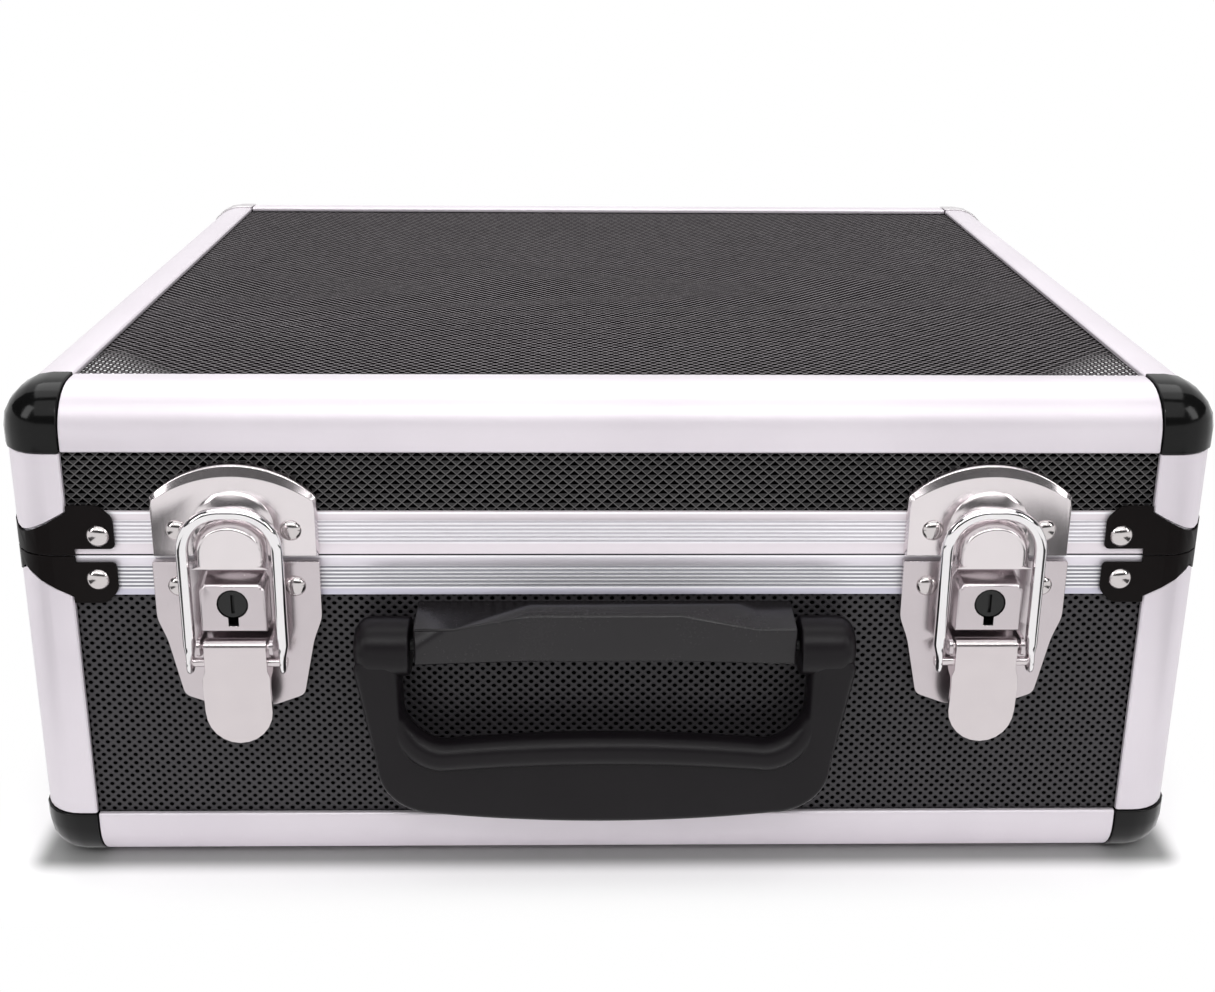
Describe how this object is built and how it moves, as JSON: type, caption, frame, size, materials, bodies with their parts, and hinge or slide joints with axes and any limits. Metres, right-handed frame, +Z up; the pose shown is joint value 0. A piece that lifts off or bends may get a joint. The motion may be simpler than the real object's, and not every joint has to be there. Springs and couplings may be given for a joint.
{
  "type": "lockable case",
  "caption": "Flat rectangular hard case with aluminium edges, a rear-hinged lid, two key-lock draw latches and a folding front handle.",
  "frame": {"origin": "on the floor, at the centre of the bounding box's bottom face", "axes": "+X along the front, +Y from the front with the handle to the hinged rear, +Z up"},
  "size_m": [0.321, 0.2734, 0.1415],
  "materials": {
    "board": "black laminate on board, pressed with fine staggered dimples",
    "silver_extrusion": "satin anodised extrusion",
    "ribbed_band": "satin anodised with fine lengthwise ribs",
    "ball_corner_black": "glossy black",
    "ball_corner_silver": "polished silver",
    "seam_corner_black": "semi-gloss black",
    "chrome": "bright nickel-chrome plating",
    "lock": "dark lock core",
    "handle": "fine-grained matt black moulding",
    "bracket": "smooth satin black",
    "steel": "plated steel",
    "rivet": "bright domed rivets",
    "lining": "dark foam and cloth lining"
  },
  "bodies": {
    "base": {"base_bottom_board": "board", "base_front_board": "board", "base_rear_board": "board", "base_left_board": "board", "base_right_board": "board", "base_edge_front": "silver_extrusion", "base_edge_rear": "silver_extrusion", "base_edge_left": "silver_extrusion", "base_edge_right": "silver_extrusion", "base_upright_front_left": "silver_extrusion", "base_ball_corner_front_left": "ball_corner_black", "base_seam_corner_front_left": "seam_corner_black", "base_upright_front_right": "silver_extrusion", "base_ball_corner_front_right": "ball_corner_black", "base_seam_corner_front_right": "seam_corner_black", "base_upright_rear_right": "silver_extrusion", "base_ball_corner_rear_right": "ball_corner_black", "base_seam_corner_rear_right": "seam_corner_black", "base_upright_rear_left": "silver_extrusion", "base_ball_corner_rear_left": "ball_corner_black", "base_seam_corner_rear_left": "seam_corner_black", "base_band": "ribbed_band", "left_lock_plate": "chrome", "right_lock_plate": "chrome", "handle_bracket": "bracket", "handle_pin": "steel", "hinge_lower_leaf": "steel", "hinge_pin": "steel"},
    "lid": {"lid_top_board": "board", "lid_front_board": "board", "lid_rear_board": "board", "lid_left_board": "board", "lid_right_board": "board", "lid_edge_front": "silver_extrusion", "lid_edge_rear": "silver_extrusion", "lid_edge_left": "silver_extrusion", "lid_edge_right": "silver_extrusion", "lid_upright_front_left": "silver_extrusion", "lid_ball_corner_front_left": "ball_corner_black", "lid_seam_corner_front_left": "seam_corner_black", "lid_upright_front_right": "silver_extrusion", "lid_ball_corner_front_right": "ball_corner_black", "lid_seam_corner_front_right": "seam_corner_black", "lid_upright_rear_right": "silver_extrusion", "lid_ball_corner_rear_right": "ball_corner_silver", "lid_seam_corner_rear_right": "seam_corner_black", "lid_upright_rear_left": "silver_extrusion", "lid_ball_corner_rear_left": "ball_corner_silver", "lid_seam_corner_rear_left": "seam_corner_black", "lid_band": "ribbed_band", "left_catch_plate": "chrome", "right_catch_plate": "chrome", "hinge_upper_leaf": "steel"},
    "left_lever_body": {"left_lever": "chrome"},
    "left_bail_body": {"left_bail": "chrome"},
    "left_lock_body": {"left_lock_plug": "lock"},
    "right_lever_body": {"right_lever": "chrome"},
    "right_bail_body": {"right_bail": "chrome"},
    "right_lock_body": {"right_lock_plug": "lock"},
    "handle_body": {"handle": "handle"}
  },
  "joints": [
    {"name": "lid_hinge", "type": "hinge", "parent": "base", "child": "lid", "pos_m": [0, 0.13435, 0.0956], "axis": [-1, 0, 0], "range_deg": [0, 100]},
    {"name": "handle_fold", "type": "hinge", "parent": "base", "child": "handle_body", "pos_m": [-0.0019, -0.12895, 0.0726], "axis": [-1, 0, 0], "range_deg": [0, 95]},
    {"name": "left_lever_swing", "type": "hinge", "parent": "base", "child": "left_lever_body", "pos_m": [-0.09952, -0.12975, 0.0728], "axis": [-1, 0, 0], "range_deg": [0, 110]},
    {"name": "left_bail_swing", "type": "hinge", "parent": "left_lever_body", "child": "left_bail_body", "pos_m": [-0.09952, -0.12975, 0.0681], "axis": [1, 0, 0], "range_deg": [0, 132]},
    {"name": "left_lock_turn", "type": "hinge", "parent": "base", "child": "left_lock_body", "pos_m": [-0.09952, -0.13055, 0.0854], "axis": [0, 1, 0], "range_deg": [0, 90]},
    {"name": "right_lever_swing", "type": "hinge", "parent": "base", "child": "right_lever_body", "pos_m": [0.09952, -0.12975, 0.0728], "axis": [-1, 0, 0], "range_deg": [0, 110]},
    {"name": "right_bail_swing", "type": "hinge", "parent": "right_lever_body", "child": "right_bail_body", "pos_m": [0.09952, -0.12975, 0.0681], "axis": [1, 0, 0], "range_deg": [0, 132]},
    {"name": "right_lock_turn", "type": "hinge", "parent": "base", "child": "right_lock_body", "pos_m": [0.09952, -0.13055, 0.0854], "axis": [0, 1, 0], "range_deg": [0, 90]}
  ],
  "couplings": [
    {"joint": "left_bail_swing", "follows": "left_lever_swing", "ratio": 1.2},
    {"joint": "right_bail_swing", "follows": "right_lever_swing", "ratio": 1.2}
  ]
}
